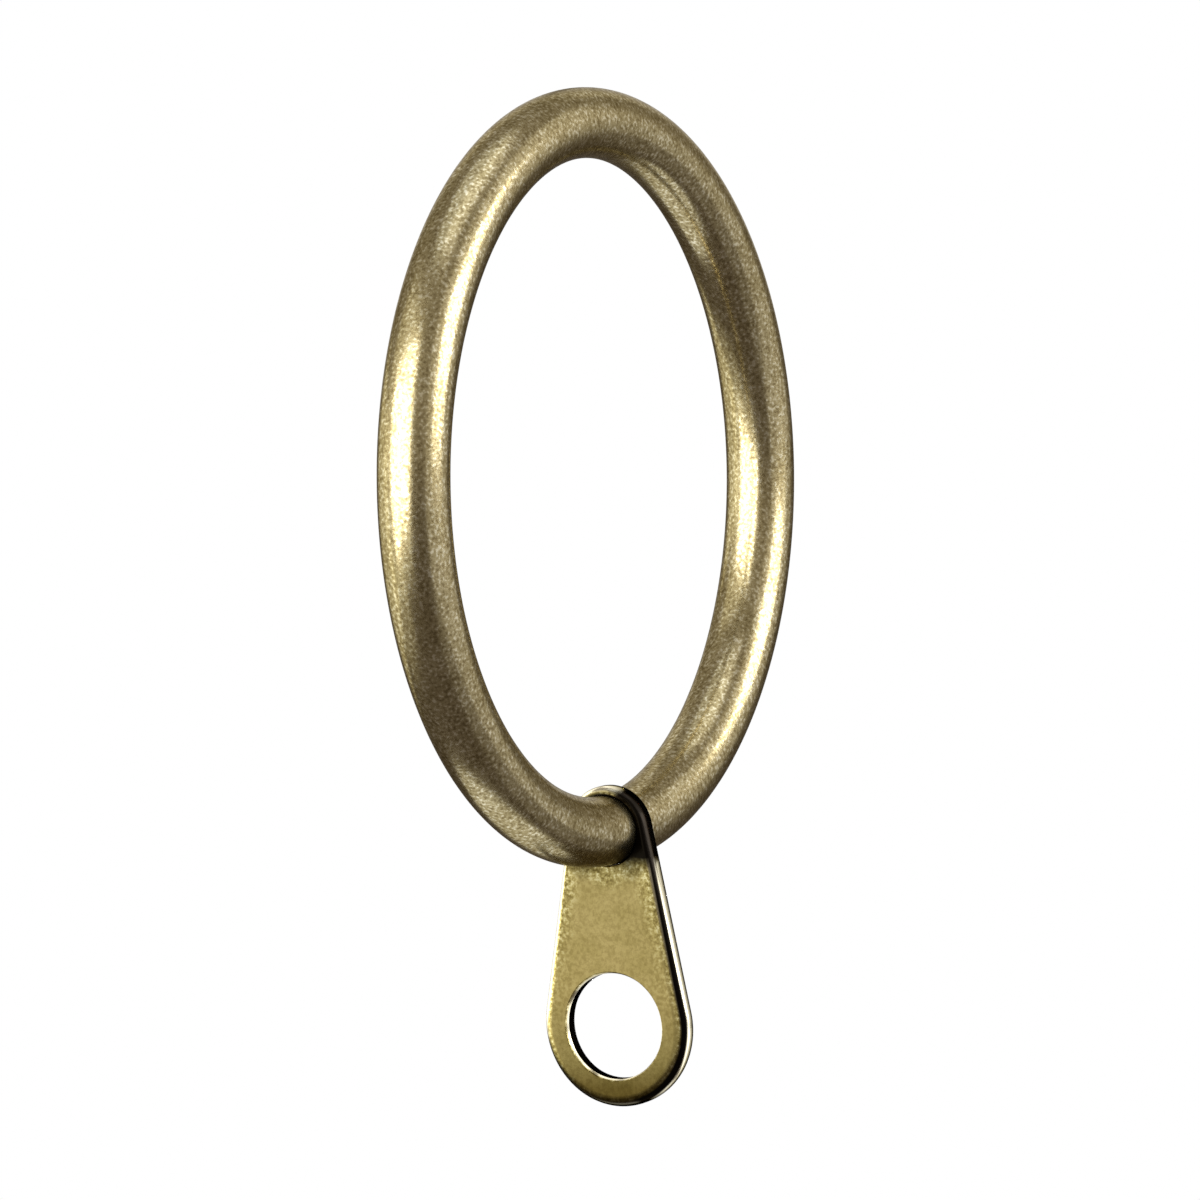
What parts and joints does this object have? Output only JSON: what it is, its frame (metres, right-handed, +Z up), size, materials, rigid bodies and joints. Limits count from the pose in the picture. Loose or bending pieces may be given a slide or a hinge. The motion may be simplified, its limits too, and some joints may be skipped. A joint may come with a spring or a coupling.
{
  "type": "curtain ring with eyelet",
  "caption": "Round-wire curtain ring in antique brass that slides on a rod, with a flat teardrop eyelet plate hanging loose on the wire to take a curtain hook.",
  "frame": {"origin": "centre of the ring, on its axis and in its middle plane", "axes": "+X along the ring's axis, the way it slides along a rod; -Y towards the room, the side the eyelet's face shows to; +Z up, with the eyelet hanging at the bottom of the ring"},
  "size_m": [0.0098, 0.0464, 0.061],
  "materials": {
    "ring_antique_brass": "antique brass, darkened, fine speckled grain, satin",
    "eyelet_antique_brass": "antique brass, lighter gold face, speckled rim, semi-polished"
  },
  "bodies": {
    "ring": {"ring": "ring_antique_brass"},
    "eyelet": {"eyelet": "eyelet_antique_brass"}
  },
  "joints": [
    {"name": "eyelet_swing", "type": "hinge", "parent": "ring", "child": "eyelet", "pos_m": [0, 0, -0.0211], "axis": [0, 1, 0], "continuous": true}
  ]
}
